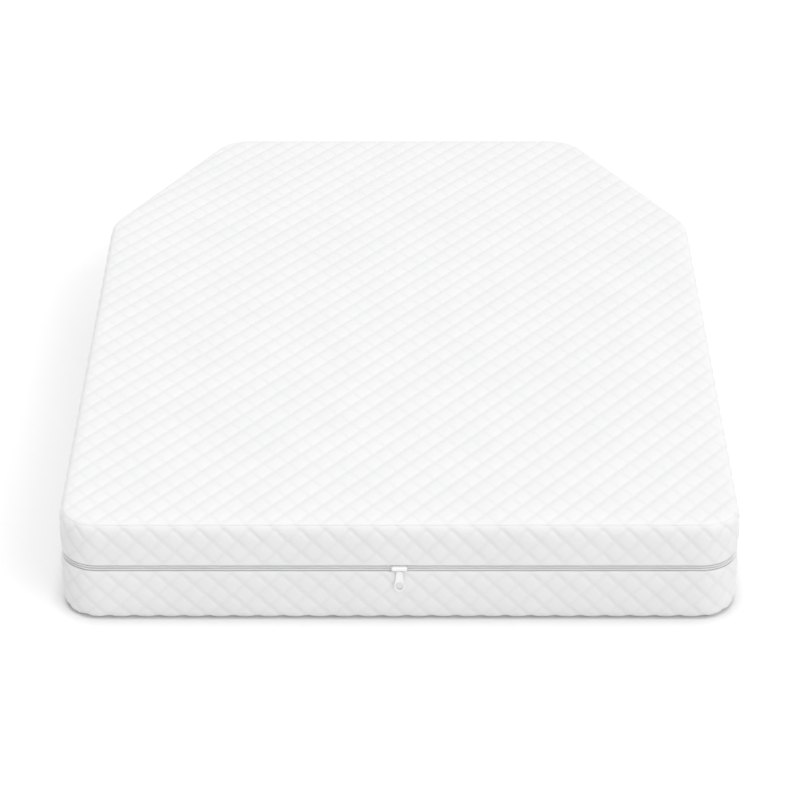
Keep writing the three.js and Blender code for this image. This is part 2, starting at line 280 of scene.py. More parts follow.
TOP_DEPTH = 3 * MM  # from the diamonds' tops to the stitch lines
BAND_DEPTH = 2.8 * MM
STRONG = 1  # how deep the lines sewn last are pulled in, and the others
FAINT = 0.7
SOFT = 2.4  # how round a diamond is: 2 is a plain dome, more is fuller
STEEP = 3  # the same just past a strong line, where the cloth stands up from the stitches
STITCH_APART = 2.1 * MM  # half the distance between the two rows of a stitch line
STITCH_DIP = 0.5 * MM
TOP_FADE = 20 * MM  # how far from the seam the top's diamonds reach their height
UNEVEN = 0.14  # how much flatter than the fullest diamond the flattest one is
SAME = 1e-5  # places closer than this are the same place


def smooth_step(value):
    """A smooth run from 0 to 1, and flat outside."""
    value = np.clip(value, 0, 1)
    return value * value * (3 - 2 * value)


class Quilt:
    """Two families of slanting stitch lines, which lie at whole numbers of u and of v. The lines of u fall
    to the right and those of v rise; falling and rising say how deep each family is pulled in."""

    def __init__(self, across, along, phase_u, phase_v, falling, rising):
        self.across = across
        self.along = along
        self.phase_u = phase_u
        self.phase_v = phase_v
        self.falling = falling
        self.rising = rising
        self.spacing = across * along / math.hypot(across, along)

    def lines(self, a, b):
        """u and v at a place a across, b along."""
        across = a / self.across
        along = b / self.along
        return across + along - self.phase_u, across - along - self.phase_v

    def place(self, u, v):
        u = u + self.phase_u
        v = v + self.phase_v
        return self.across * (u + v) / 2, self.along * (u - v) / 2

    def height(self, u, v):
        """The relief from 0 at a strong stitch line to 1 on a full diamond, and the dip of the rows."""
        rise = np.ones_like(u)
        dip = np.zeros_like(u)
        row = STITCH_APART / self.spacing
        for line, depth in ((u, self.falling), (v, self.rising)):
            past = line - np.round(line)
            off = np.abs(past)
            fullness = np.where(past > 0, STEEP, SOFT)
            rise = rise * (1 - depth * (1 - 2 * off) ** fullness)
            away = (off - row) / (0.5 * row)
            dip = np.maximum(dip, depth * np.exp(-(away**2)))
        full = uneven(np.floor(u), np.floor(v))
        return rise * full, dip


def uneven(i, j):
    """A steady little difference in fullness from one diamond to the next: far digits of a sine."""
    digits = np.sin(i * 12.9898 + j * 78.233) * 43758.5453
    return 1 - UNEVEN * (digits - np.floor(digits))


def quilt_grid(quilt, low, high, cuts):
    """A grid along the stitch lines that covers the box from low to high: its points as u and v and as
    places, and the middles of its cells."""
    corners = [quilt.lines(a, b) for a in (low[0], high[0]) for b in (low[1], high[1])]
    us = ladder(min(c[0] for c in corners), max(c[0] for c in corners), cuts)
    vs = ladder(min(c[1] for c in corners), max(c[1] for c in corners), cuts)
    u, v = np.meshgrid(us, vs, indexing="ij")
    a, b = quilt.place(u, v)
    mid_a = (a[:-1, :-1] + a[1:, 1:]) / 2
    mid_b = (b[:-1, 1:] + b[1:, :-1]) / 2
    return u, v, a, b, mid_a, mid_b


def ladder(low, high, cuts):
    """The cuts of every diamond from low to high, in diamonds."""
    whole = np.arange(math.floor(low), math.ceil(high) + 1)
    return (whole[:, None] + np.array(cuts)[None, :]).ravel()


def flat_mesh(a, b, keep):
    """A bmesh in the plane from the kept cells of a grid."""
    rows, cols = a.shape
    number = np.arange(rows * cols).reshape(rows, cols)
    i, j = np.nonzero(keep)
    quads = np.stack([number[i, j], number[i, j + 1], number[i + 1, j + 1], number[i + 1, j]], axis=1)
    used, fresh = np.unique(quads, return_inverse=True)
    mesh = bpy.data.meshes.new("flat")
    points = np.stack([a.ravel()[used], b.ravel()[used], np.zeros(len(used))], axis=1)
    mesh.from_pydata(points.tolist(), [], fresh.reshape(quads.shape).tolist())
    bm = bmesh.new()
    bm.from_mesh(mesh)
    bpy.data.meshes.remove(mesh)
    return bm


def cut(bm, faces, point, normal, clear=False):
    """Cuts faces along a line, and returns what they became."""
    geometry = set(faces)
    for face in faces:
        geometry.update(face.edges)
        geometry.update(face.verts)
    made = bmesh.ops.bisect_plane(
        bm,
        geom=list(geometry),
        plane_co=(point[0], point[1], 0),
        plane_no=(normal[0], normal[1], 0),
        clear_outer=clear,
        dist=1e-6,
    )
    return [item for item in made["geom"] if isinstance(item, bmesh.types.BMFace)]


def arrays(bm):
    bm.verts.index_update()
    points = np.array([vert.co[:2] for vert in bm.verts])
    faces = [[vert.index for vert in face.verts] for face in bm.faces]
    return points, faces


def joined(first, second):
    """Two flat meshes as one, with the points that they share."""
    points = np.vstack([first[0], second[0]])
    shift = len(first[0])
    faces = first[1] + [[i + shift for i in face] for face in second[1]]
    points, fresh = np.unique(points, axis=0, return_inverse=True)
    fresh = fresh.ravel()
    return points, [fresh[face].tolist() for face in faces]


# ---- Making pieces ----

scene = bpy.context.scene


def place_object(name, data):
    placed = bpy.data.objects.new(name, data)
    scene.collection.objects.link(placed)
    return placed


def make_piece(name, points, faces, material, uvs=None):
    mesh = bpy.data.meshes.new(name)
    mesh.from_pydata(np.asarray(points).tolist(), [], faces)
    mesh.validate()
    if uvs is not None:
        layer = mesh.uv_layers.new(name="quilt")
        corner = np.empty(len(mesh.loops), dtype=np.int32)
        mesh.loops.foreach_get("vertex_index", corner)
        layer.data.foreach_set("uv", np.asarray(uvs, dtype=np.float32)[corner].ravel())
    mesh.shade_smooth()
    mesh.materials.append(material)
    return place_object(name, mesh)


def stand_in(piece, body, node):
    """Lets a piece ride on a body in place of a CAD node."""
    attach(piece, body)
    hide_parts(node)


def boundary(faces):
    """The open edges of a mesh, each running as its face runs."""
    edges = {(a, b) for face in faces for a, b in zip(face, face[1:] + face[:1])}
    return [(a, b) for a, b in edges if (b, a) not in edges]


def closed_loop(edges):
    """Edges that make one loop, as its points in order."""
    after = dict(edges)
    first = next(iter(after))
    loop = [first]
    while after[loop[-1]] != first:
        loop.append(after[loop[-1]])
    return loop


# ---- Materials ----

WAVE_SPACING = 0.314  # of a wave texture's ribs, when its scale is 1


class Finish:
    """A procedural material under construction."""

    def __init__(self, name, colour, roughness, **settings):
        self.material = bpy.data.materials.new(name)
        self.material.use_nodes = True
        self.nodes = self.material.node_tree.nodes
        self.links = self.material.node_tree.links
        self.shader = self.nodes["Principled BSDF"]
        self.colour = colour
        self.shader.inputs["Base Color"].default_value = (*colour, 1)
        self.shader.inputs["Roughness"].default_value = roughness
        for socket, value in settings.items():
            self.shader.inputs[socket.replace("_", " ")].default_value = value
        self.place = self.nodes.new("ShaderNodeTexCoord").outputs["Object"]

    def node(self, kind, **settings):
        made = self.nodes.new(kind)
        for key, value in settings.items():
            setattr(made, key, value)
        return made

    def math(self, operation, first, second=0.0):
        made = self.node("ShaderNodeMath", operation=operation)
        for socket, value in zip(made.inputs, (first, second)):
            if isinstance(value, (int, float)):
                socket.default_value = value
            else:
                self.links.new(value, socket)
        return made.outputs[0]

    def noise(self, scale, detail=3, stretch=(1, 1, 1)):
        """Noise with features of about 1/scale metres, pulled out along the axes by stretch."""
        mapping = self.node("ShaderNodeMapping")
        mapping.inputs["Scale"].default_value = [1 / s for s in stretch]
        self.links.new(self.place, mapping.inputs["Vector"])
        made = self.node("ShaderNodeTexNoise")
        made.inputs["Scale"].default_value = scale
        made.inputs["Detail"].default_value = detail
        self.links.new(mapping.outputs[0], made.inputs["Vector"])
        return made.outputs["Fac"]

    def cells(self, size, feature="F1"):
        made = self.node("ShaderNodeTexVoronoi", feature=feature)
        made.inputs["Scale"].default_value = 1 / size
        self.links.new(self.place, made.inputs["Vector"])
        return made.outputs["Distance"]

    def wave(self, size, direction):
        """Ribs of this spacing, side by side along an axis."""
        made = self.node("ShaderNodeTexWave", bands_direction=direction)
        made.inputs["Scale"].default_value = WAVE_SPACING / size
        made.inputs["Distortion"].default_value = 0.6
        made.inputs["Detail"].default_value = 1
        self.links.new(self.place, made.inputs["Vector"])
        return made.outputs["Fac"]

    def tint(self, value, other, low=0.35, high=0.65):
        """Mixes the colour with another one as value goes from low to high."""
        spread = self.node("ShaderNodeMapRange")
        self.links.new(value, spread.inputs["Value"])
        spread.inputs["From Min"].default_value = low
        spread.inputs["From Max"].default_value = high
        mix = self.node("ShaderNodeMix", data_type="RGBA")
        self.links.new(spread.outputs[0], mix.inputs["Factor"])
        base = self.shader.inputs["Base Color"]
        if base.links:
            self.links.new(base.links[0].from_socket, mix.inputs["A"])
        else:
            mix.inputs["A"].default_value = (*self.colour, 1)
        mix.inputs["B"].default_value = (*other, 1)
        self.links.new(mix.outputs["Result"], base)

    def rough(self, value, low, high):
        spread = self.node("ShaderNodeMapRange")
        self.links.new(value, spread.inputs["Value"])
        spread.inputs["To Min"].default_value = low
        spread.inputs["To Max"].default_value = high
        self.links.new(spread.outputs[0], self.shader.inputs["Roughness"])

    def bump(self, value, height, strength=1.0):
        """Adds relief of this height in metres to what is there."""
        made = self.node("ShaderNodeBump")
        made.inputs["Strength"].default_value = strength
        made.inputs["Distance"].default_value = height
        self.links.new(value, made.inputs["Height"])
        normal = self.shader.inputs["Normal"]
        if normal.links:
            self.links.new(normal.links[0].from_socket, made.inputs["Normal"])
        self.links.new(made.outputs[0], normal)


WHITE = (0.83, 0.83, 0.83)


def knit_finish(name, quilt=None):
    """Brushed white knit with short loops, and sewn stitching along the stitch lines, whose grey is partly
    painted shade of the stitch creases.
    """
    finish = Finish(name, WHITE, 0.85, Sheen_Weight=0.15, Sheen_Roughness=0.5)
    loops = finish.cells(1.1 * MM)
    finish.bump(finish.noise(60, 4), 0.5 * MM, 0.35)
    finish.bump(loops, 0.22 * MM, 0.5)
    finish.tint(finish.noise(9, 2), (0.815, 0.815, 0.817))
    finish.rough(finish.noise(700, 2), 0.78, 0.94)
    if quilt:
        sew_with_crease_shade(finish, quilt)
    return finish.material


STITCH_LENGTH = 3.2 * MM
THREAD = 0.7 * MM


def sew_with_crease_shade(finish, quilt):
    """Thread along the stitch lines, from the quilt map's u and v. Its grey is partly its own colour and
    partly painted shade of the stitch creases, more on the more deeply sewn family.
    """
    lines = finish.node("ShaderNodeSeparateXYZ")
    quilt_map = finish.node("ShaderNodeUVMap", uv_map="quilt")
    finish.links.new(quilt_map.outputs[0], lines.inputs[0])
    rows = []
    for across, along, depth in ((0, 1, quilt.falling), (1, 0, quilt.rising)):
        off = finish.math("PINGPONG", lines.outputs[across], 0.5)
        away = finish.math("ABSOLUTE", finish.math("SUBTRACT", off, STITCH_APART / quilt.spacing))
        near = finish.math("LESS_THAN", away, THREAD / quilt.spacing)
        step = finish.math("MULTIPLY", lines.outputs[along], round(quilt.spacing / STITCH_LENGTH))
        hump = finish.math("SINE", finish.math("MULTIPLY", finish.math("FRACT", step), math.pi))
        rows.append(finish.math("MULTIPLY", near, finish.math("MULTIPLY", hump, depth)))
    thread_and_crease_shade = finish.math("MAXIMUM", *rows)
    # The stitching's grey is partly its own colour and partly painted shade of the stitch creases; the
    # family sewn deeper gets more of it.
    finish.tint(thread_and_crease_shade, (0.745, 0.745, 0.75), 0, 1)
    finish.bump(thread_and_crease_shade, 0.4 * MM, 0.6)


def cloth_finish(name, colour, pitch):
    """Plain woven cloth with threads of this pitch."""
    finish = Finish(name, colour, 0.85)
    weave = finish.math("MAXIMUM", finish.wave(pitch, "X"), finish.wave(pitch, "Y"))
    finish.bump(weave, 0.15 * MM, 0.6)
    darker = [c * 0.93 for c in colour]
    finish.tint(finish.noise(25, 3), darker)
    finish.rough(weave, 0.75, 0.92)
    return finish.material


def foam_finish(name, colour, cell):
    """Open-cell foam with pores of this size."""
    finish = Finish(name, colour, 0.9, Subsurface_Weight=0.1)
    pores = finish.cells(cell)
    finish.bump(pores, 0.6 * cell, 0.7)
    finish.tint(finish.noise(14, 4), [c * 0.94 for c in colour])
    finish.rough(pores, 0.82, 0.97)
    return finish.material


def fibre_finish(name, colour):
    """Loose fibre filling."""
    finish = Finish(name, colour, 0.95, Sheen_Weight=0.2)
    fibres = finish.noise(420, 5, (1, 3, 1))
    finish.bump(fibres, 1.2 * MM, 0.7)
    finish.tint(finish.noise(40, 4), [c * 0.93 for c in colour])
    finish.rough(fibres, 0.85, 1.0)
    return finish.material


def lacquer_finish(name):
    """White lacquer on a cast slider, with a little orange peel and slight wear."""
    finish = Finish(name, (0.93, 0.93, 0.93), 0.3, Coat_Weight=0.35, Coat_Roughness=0.12)
    finish.bump(finish.noise(900, 2), 0.05 * MM, 0.5)
    finish.tint(finish.noise(160, 3), (0.88, 0.88, 0.89), 0.5, 0.75)
    finish.rough(finish.noise(300, 3), 0.24, 0.42)
    return finish.material


def nylon_finish(name):
    finish = Finish(name, (0.95, 0.95, 0.95), 0.38)
    finish.bump(finish.noise(1500, 2), 0.05 * MM, 0.4)
    finish.tint(finish.noise(200, 2), (0.9, 0.9, 0.9))
    finish.rough(finish.noise(500, 2), 0.32, 0.48)
    return finish.material


# ---- The quilted top ----

top_quilt = Quilt(
    QUILT_ACROSS,
    QUILT_ALONG,
    SEAM_PHASE / QUILT_ACROSS + (-half_length + SEAM_INSET) / QUILT_ALONG,
    SEAM_PHASE / QUILT_ACROSS - (-half_length + SEAM_INSET) / QUILT_ALONG,
    FAINT,
    STRONG,
)
TOP_CUTS = (0, 0.049, 0.12, 0.3, 0.7, 0.88, 0.951)  # the mesh's lines across a diamond, close by the rows
EDGE_CUTS = (1.5 * MM, 4 * MM, 8 * MM, 14 * MM, 22 * MM)  # and inside its outer edge


def middles_of(faces):
    return np.array([face.calc_center_median()[:2] for face in faces]).reshape(-1, 2)


def beside(middles, start, end, margin):
    """Which places lie along one side of the outline."""
    run = (end - start).normalized()
    away = middles - np.array(start)
    off = away @ np.array((run.y, -run.x))
    far = away @ np.array(run)
    return (np.abs(off) < margin) & (far > -margin) & (far < (end - start).length + margin)


def cut_along_outline(bm, inset, margin):
    """Cuts every cell that the outline at an inset crosses."""
    faces = bm.faces[:]
    middles = middles_of(faces)
    near = np.nonzero(np.abs(inset_at(*middles.T) - inset) < margin)[0]
    faces = [faces[i] for i in near]
    middles = middles[near]
    loop = outline_polygon(inset)
    for start, end in zip(loop, loop[1:] + loop[:1]):
        chosen = [faces[i] for i in np.nonzero(beside(middles, start, end, margin))[0]]
        run = (end - start).normalized()
        known = set(chosen)
        made = [face for face in cut(bm, chosen, start, (run.y, -run.x)) if face not in known]
        faces += made
        middles = np.vstack([middles, middles_of(made)])


def trim_to_outline(bm, inset, margin):
    """Cuts the cells along the outline at an inset and some way inside it, and removes the outside."""
    for level in (0, *EDGE_CUTS):
        cut_along_outline(bm, inset + level, margin)
    outside = inset_at(*middles_of(bm.faces).T) < inset
    gone = [face for face, out in zip(bm.faces, outside) if out]
    bmesh.ops.delete(bm, geom=gone, context="FACES")


def quilted_slab(name, material, inset, cuts, depth, stitches, surface, underside):
    """A slab with a quilted top face. surface and underside give its two heights at an inset."""
    low = (-half_width, -half_length)
    high = (half_width, half_length)
    _, _, a, b, mid_a, mid_b = quilt_grid(top_quilt, low, high, cuts)
    margin = QUILT_ACROSS / 4
    middle = inset_at(mid_a, mid_b)
    border_end = inset + EDGE_CUTS[-1] + 2 * margin
    border = flat_mesh(a, b, (middle > inset - margin) & (middle < border_end))
    trim_to_outline(border, inset, margin)
    inside = flat_mesh(a, b, middle >= border_end)
    points, faces = joined(arrays(border), arrays(inside))
    border.free()
    inside.free()
    x, y = points.T
    here = inset_at(x, y)
    u, v = top_quilt.lines(x, y)
    rise, dip = top_quilt.height(u, v)
    fade = smooth_step((here - inset) / TOP_FADE)
    z = surface(here) - fade * (depth * (1 - rise) + stitches * dip)
    points = np.stack([x, y, z], axis=1)
    points, faces = close_underneath(points, faces, inset, underside)
    u, v = top_quilt.lines(points[:, 0], points[:, 1])
    return make_piece(name, points, faces, material, np.stack([u, v], axis=1))


UNDER_LEVELS = (0.2 * MM, 4 * MM, 12 * MM, 25 * MM, 43 * MM)


def close_underneath(points, faces, inset, underside):
    """Gives a slab its lower side: loops that follow its edge inwards, and one flat face."""
    loop = closed_loop(boundary(faces))
    edge = points[loop, :2]
    x, y = edge.T
    grow = 0.1 * MM
    slope_x = (inset_at(x + grow, y) - inset_at(x - grow, y)) / (2 * grow)
    slope_y = (inset_at(x, y + grow) - inset_at(x, y - grow)) / (2 * grow)
    last = loop
    for level in UNDER_LEVELS:
        heights = underside(np.full(len(loop), inset + level))
        ring = np.stack([x + slope_x * level, y + slope_y * level, heights], axis=1)
        first = len(points)
        points = np.vstack([points, ring])
        this = list(range(first, first + len(loop)))
        for i in range(len(loop)):
            j = (i + 1) % len(loop)
            faces.append([last[j], last[i], this[i], this[j]])
        last = this
    faces.append(last[::-1])
    return points, faces


KNIT_EDGE = 2.2 * MM  # the panel's thickness at its seam


def top_underside(inset):
    deep = np.clip((inset - SEAM_INSET) / TOP_FADE, 0, 1)
    return crown_height(inset) - KNIT_EDGE - deep * (TOP_DEPTH + 0.1 * MM)


top_panel = quilted_slab(
    "quilted_top_panel",
    knit_finish("top_knit", top_quilt),
    SEAM_INSET,
    TOP_CUTS,
    TOP_DEPTH,
    STITCH_DIP,
    crown_height,
    top_underside,
)
stand_in(top_panel, "mattress", "cover_top_panel")

# ---- The quilted bands ----

KNIT_THIN = 0.6 * MM  # what is left of the knit under the stitches
KNIT_BACK = BAND_DEPTH + STITCH_DIP + KNIT_THIN  # how deep its back lies, under the cover's curve
BAND_FADE = 14 * MM  # how far from a sewn edge the diamonds reach their height
SEWN_FLAT = 0.12  # how much of it they keep at the edge
BAND_LEVELS = (1.2 * MM, 3 * MM, 7 * MM, 13 * MM, 22 * MM)  # the mesh's lines beside its two edges
BAND_CUTS = (0, 0.052, 0.12, 0.3, 0.7, 0.88, 0.948)  # and across a diamond


def band_quilt(meets_at, falling, rising):
    """A band's quilt. Its falling and rising lines cross a distance up the curve at these two phases."""
    return Quilt(
        band_across,
        QUILT_UP,
        falling / band_across + meets_at / QUILT_UP,
        rising / band_across - meets_at / QUILT_UP,
        STRONG,
        FAINT,
    )


upper_quilt = band_quilt(upper_curve.length, SEAM_PHASE, SEAM_PHASE + RISING_SHIFT)
lower_quilt = band_quilt(lower_curve.length, LOWER_PHASE, LOWER_PHASE + LOWER_SHIFT)


def quilted_band(name, material, curve, quilt, cuts, ends, front, back):
    """A ring of quilted cloth along a curve. ends is where it starts and ends, front turns the quilt's own
    relief into the depth of its outer side, and back is the depth of its inner side."""
    start, end = ends
    low = (0, start)
    high = (PERIMETER, end)
    u, v, a, b, mid_a, mid_b = quilt_grid(quilt, low, high, cuts)
    turns = np.floor(u[:-1, :-1]) + np.floor(v[:-1, :-1])
    around = 2 * round(PERIMETER / quilt.across)
    margin = quilt.along
    keep = (turns >= 0) & (turns < around) & (mid_b > start - margin) & (mid_b < end + margin)
    bm = flat_mesh(a, b, keep)
    cut(bm, bm.faces[:], (0, start), (0, -1), clear=True)
    cut(bm, bm.faces[:], (0, end), (0, 1), clear=True)
    for level in BAND_LEVELS:
        cut_at_height(bm, start + level)
        cut_at_height(bm, end - level)
    points, faces = arrays(bm)
    bm.free()
    along, up = points.T
    u, v = quilt.lines(along, up)
    rise, dip = quilt.height(u, v)
    edge = np.minimum(up - start, end - up)
    fade = SEWN_FLAT + (1 - SEWN_FLAT) * smooth_step(edge / BAND_FADE)
    sink = fade * (BAND_DEPTH * (1 - rise) + STITCH_DIP * dip)
    outer = band_points(curve, along, up, front(sink))
    inner = band_points(curve, along, up, back)
    count = len(points)
    back_faces = [[count + i for i in reversed(face)] for face in faces]
    outer_faces = [list(face) for face in faces]
    rim = [
        [b, a, count + a, count + b]
        for a, b in boundary(faces)
        if on_rim(up[a], start, end) and on_rim(up[b], start, end)
    ]
    everything = np.vstack([outer, inner])
    uvs = np.vstack([np.stack([u, v], axis=1)] * 2)
    piece = make_piece(name, everything, outer_faces + back_faces + rim, material, uvs)
    weld(piece)
    return piece


def cut_at_height(bm, level):
    """Cuts a flat band at a height."""
    faces = bm.faces[:]
    reach = np.abs(middles_of(faces)[:, 1] - level) < QUILT_UP / 4
    cut(bm, [faces[i] for i in np.nonzero(reach)[0]], (0, level), (0, 1))


def on_rim(up, start, end):
    return min(abs(up - start), abs(up - end)) < SAME


def band_points(curve, along, up, depth):
    inset, height = curve.at(up, depth)
    x, y = on_outline(along, inset)
    return np.stack([x, y, height], axis=1)


def weld(piece):
    """Joins the two ends of a ring, where they meet."""
    bm = bmesh.new()
    bm.from_mesh(piece.data)
    bmesh.ops.remove_doubles(bm, verts=bm.verts[:], dist=SAME / 5)
    bmesh.ops.recalc_face_normals(bm, faces=bm.faces[:])
    bm.to_mesh(piece.data)
    bm.free()


def as_sewn(sink):
    return sink


def cover_band(name, node, finish_name, curve, quilt):
    """A band of the cover, along the whole of its curve."""
    knit = knit_finish(finish_name, quilt)
    ends = (0, curve.length)
    piece = quilted_band(name, knit, curve, quilt, BAND_CUTS, ends, as_sewn, KNIT_BACK)
    stand_in(piece, "mattress", node)


cover_band("quilted_upper_band", "cover_upper_band", "upper_knit", upper_curve, upper_quilt)
cover_band("quilted_lower_band", "cover_lower_band", "lower_knit", lower_curve, lower_quilt)

# ---- Filling and backing of the quilts ----

GAP = 0.3 * MM
WADDING_CUTS = (0, 0.15, 0.5, 0.85)
wadding_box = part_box("top_quilt_filling")


def wadding_top(inset):
    return top_underside(inset) - GAP


def wadding_underside(inset):
    return np.full_like(inset, wadding_box[0].z)


wadding = fibre_finish("wadding", (0.86, 0.855, 0.83))
backing_cloth = cloth_finish("backing_cloth", (0.82, 0.81, 0.78), 1.2 * MM)

top_filling = quilted_slab(
    "top_wadding",
    wadding,
    inset_of(wadding_box) + 2 * GAP,
    WADDING_CUTS,
    1.2 * MM,
    0,
    wadding_top,
    wadding_underside,
)
stand_in(top_filling, "mattress", "top_quilt_filling")


def lofted(name, section, material, ring=False):
    """A solid that follows the outline. section is (inset, height) points up its outer side; a ring's goes
    on down its inner side, and a block is closed by a flat face at each end."""
    loops = [outline_polygon(inset) for inset, height in section]
    count = len(loops[0])
    points = [(p.x, p.y, level[1]) for loop, level in zip(loops, section) for p in loop]
    faces = []
    levels = len(section)
    for low in range(levels if ring else levels - 1):
        high = (low + 1) % levels
        for i in range(count):
            j = (i + 1) % count
            faces.append([low * count + i, low * count + j, high * count + j, high * count + i])
    if not ring:
        faces.append(list(range(count))[::-1])
        faces.append([(levels - 1) * count + i for i in range(count)])
    return make_piece(name, points, faces, material)


def eased(inset, low, high, radius, steps=4):
    """A block's section with rounded edges."""
    turns = [math.pi / 2 * k / steps for k in range(steps + 1)]
    lower = [(inset + radius * (1 - math.sin(t)), low + radius * (1 - math.cos(t))) for t in turns]
    upper = [(inset + radius * (1 - math.cos(t)), high - radius * (1 - math.sin(t))) for t in turns]
    return lower + upper


def laid_cloth(name, node, material):
    """A flat cloth of the plan's shape, in the place of a node."""
    low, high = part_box(node)
    edge = inset_of((low, high))
    piece = lofted(name, eased(edge, low.z, high.z, (high.z - low.z) * 0.45), material)
    stand_in(piece, "mattress", node)
    return piece, edge


top_backing, edge = laid_cloth("top_backing_cloth", "top_quilt_backing", backing_cloth)

base_cloth = cloth_finish("base_cloth", (0.78, 0.78, 0.775), 1.6 * MM)
bottom_panel, edge = laid_cloth("bottom_cloth_panel", "cover_bottom_panel", base_cloth)

SEWN_EDGE = 9 * MM  # where a band's filling stops, from its sewn edges
FILLING_TOP = KNIT_BACK + GAP  # how deep a band's filling starts, under the cover's curve
FILLING_BACK = 6.7 * MM
BACKING_FRONT = FILLING_BACK + GAP
BACKING_BACK = BACKING_FRONT + 0.8 * MM
FOLLOWS = 0.4  # how much of the knit's relief the filling keeps


def under_the_knit(sink):
    return FILLING_TOP + FOLLOWS * sink


def band_filling(name, node, curve, quilt, ends):
    piece = quilted_band(name, wadding, curve, quilt, WADDING_CUTS, ends, under_the_knit, FILLING_BACK)
    stand_in(piece, "mattress", node)


def band_backing(name, node, curve, ends):
    """The cloth behind a band's filling."""
    steps = np.linspace(*ends, 12)
    outer = np.stack(curve.at(steps, BACKING_FRONT), axis=1)
    inner = np.stack(curve.at(steps, BACKING_BACK), axis=1)[::-1]
    piece = lofted(name, [*outer.tolist(), *inner.tolist()], backing_cloth, ring=True)
    stand_in(piece, "mattress", node)


upper_ends = (SEWN_EDGE, upper_curve.length - 1.6 * SEWN_EDGE)
lower_ends = (HEM_ROUND, lower_curve.length - SEWN_EDGE)
band_filling("upper_wadding", "upper_band_filling", upper_curve, upper_quilt, upper_ends)
band_filling("lower_wadding", "lower_band_filling", lower_curve, lower_quilt, lower_ends)
band_backing("upper_backing_cloth", "upper_band_backing", upper_curve, upper_ends)
band_backing("lower_backing_cloth", "lower_band_backing", lower_curve, lower_ends)

# ---- Zip ----

tape_inset = inset_of(tape_box)
tape_thick = 0.8 * MM
TOOTH_PITCH = 4.7 * MM
nylon = nylon_finish("coil_nylon")
tape_cloth = cloth_finish("tape_cloth", (0.88, 0.88, 0.875), 0.9 * MM)


def zip_tape(name, node):
    low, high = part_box(node)
    edge = tape_thick * 0.45
    section = [
        (tape_inset + edge, low.z),
        (tape_inset, low.z + edge),
        (tape_inset, high.z - edge),
        (tape_inset + edge, high.z),
        (tape_inset + tape_thick - edge, high.z),
        (tape_inset + tape_thick, high.z - edge),
        (tape_inset + tape_thick, low.z + edge),
        (tape_inset + tape_thick - edge, low.z),
    ]
    piece = lofted(name, section, tape_cloth, ring=True)
    stand_in(piece, "mattress", node)


zip_tape("zip_upper_tape_cloth", "zip_upper_tape")
zip_tape("zip_lower_tape_cloth", "zip_lower_tape")


def squarer(value):
    """Pushes a circle's points out towards a square."""
    return math.copysign(abs(value) ** 0.7, value)


def bead(turns=8, levels=(0.14, 0.38, 0.62, 0.86)):
    """A rounded bead in a box from -1 to 1: its points, as rings from end to end, and its faces."""
    points = [(0.0, 0.0, -1.0)]
    for level in levels:
        height = -math.cos(math.pi * level)
        reach = math.sin(math.pi * level) ** 0.55
        for k in range(turns):
            angle = 2 * math.pi * (k + 0.5) / turns
            x, y = math.cos(angle), math.sin(angle)
            points.append((reach * squarer(x), reach * squarer(y), height))
    points.append((0.0, 0.0, 1.0))
    last = len(points) - 1
    faces = []
    for k in range(turns):
        n = (k + 1) % turns
        faces.append([0, 1 + n, 1 + k])
        for ring in range(len(levels) - 1):
            a = 1 + ring * turns
            faces.append([a + k, a + n, a + turns + n, a + turns + k])
        a = 1 + (len(levels) - 1) * turns
        faces.append([a + k, a + n, last])
    return np.array(points), faces


def tooth_row(name, node, shift):
    """A coil's front, as a row of beads round the outline."""
    low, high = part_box(node)
    outer = inset_of((low, high))
    inner = tape_inset - GAP
    count = round(PERIMETER / TOOTH_PITCH)
    pitch = PERIMETER / count
    shape, shape_faces = bead()
    along = (shape[:, 0] * 0.46 + shape[:, 2] * 0.12) * pitch
    depth = (outer + inner) / 2 - shape[:, 1] * (inner - outer) / 2
    height = (low.z + high.z) / 2 + shape[:, 2] * (high.z - low.z) / 2
    starts = (np.arange(count) + shift) * pitch
    everywhere = (starts[:, None] + along[None, :]).ravel()
    x, y = on_outline(everywhere, np.tile(depth, count))
    points = np.stack([x, y, np.tile(height, count)], axis=1)
    size = len(shape)
    faces = [[i + tooth * size for i in face] for tooth in range(count) for face in shape_faces]
    piece = make_piece(name, points, faces, nylon)
    stand_in(piece, "mattress", node)


tooth_row("zip_upper_coil", "zip_upper_teeth", 0)
tooth_row("zip_lower_coil", "zip_lower_teeth", 0.5)

# ---- Slider and pull ----

lacquer = lacquer_finish("slider_lacquer")
frame["nodes"]["zip_slider_body"].material_slots[0].material = lacquer
cap_low, cap_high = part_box("zip_slider_cap")
pull_low, pull_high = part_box("zip_pull_tab")
PIVOT = Vector(next(joint for joint in frame["joints"] if joint["name"] == "pull_swing")["pos_m"])
PIVOT_RADIUS = pull_high.z - PIVOT.z
PIVOT_CLEAR = 0.4 * MM
PIVOT_LENGTH = 12 * MM
SLOT_WIDTH = 4.6 * MM
SLOT_TOP = 2.2 * MM  # over the pivot
CAP_WALL = 0.9 * MM
PULL_THICK = pull_high.y - pull_low.y
SHOULDER_DROP = 5 * MM
SHOULDER_WIDTH = 14 * MM
RING_WIDTH = pull_high.x - pull_low.x
RING_HEIGHT = 29.6 * MM
RING_DROP = PIVOT.z - pull_low.z - RING_HEIGHT / 2
HOLE_WIDTH = 18.6 * MM
HOLE_HEIGHT = 22.6 * MM


def arc(centre, half_width, half_height, first, last, steps):
    angles = np.linspace(first, last, steps + 1)
    across = centre[0] + half_width * np.cos(angles)
    up = centre[1] + half_height * np.sin(angles)
    return np.stack([across, up], axis=1)


def rounded_rectangle(low, high, radius):
    """In X and Z, anticlockwise."""
    quarter = math.pi / 2
    left, right = low[0] + radius, high[0] - radius
    bottom, top = low[1] + radius, high[1] - radius
    centres = [(right, top), (left, top), (left, bottom), (right, bottom)]
    return np.vstack([
        arc(centre, radius, radius, turn * quarter, (turn + 1) * quarter, 6)
        for turn, centre in enumerate(centres)
    ])


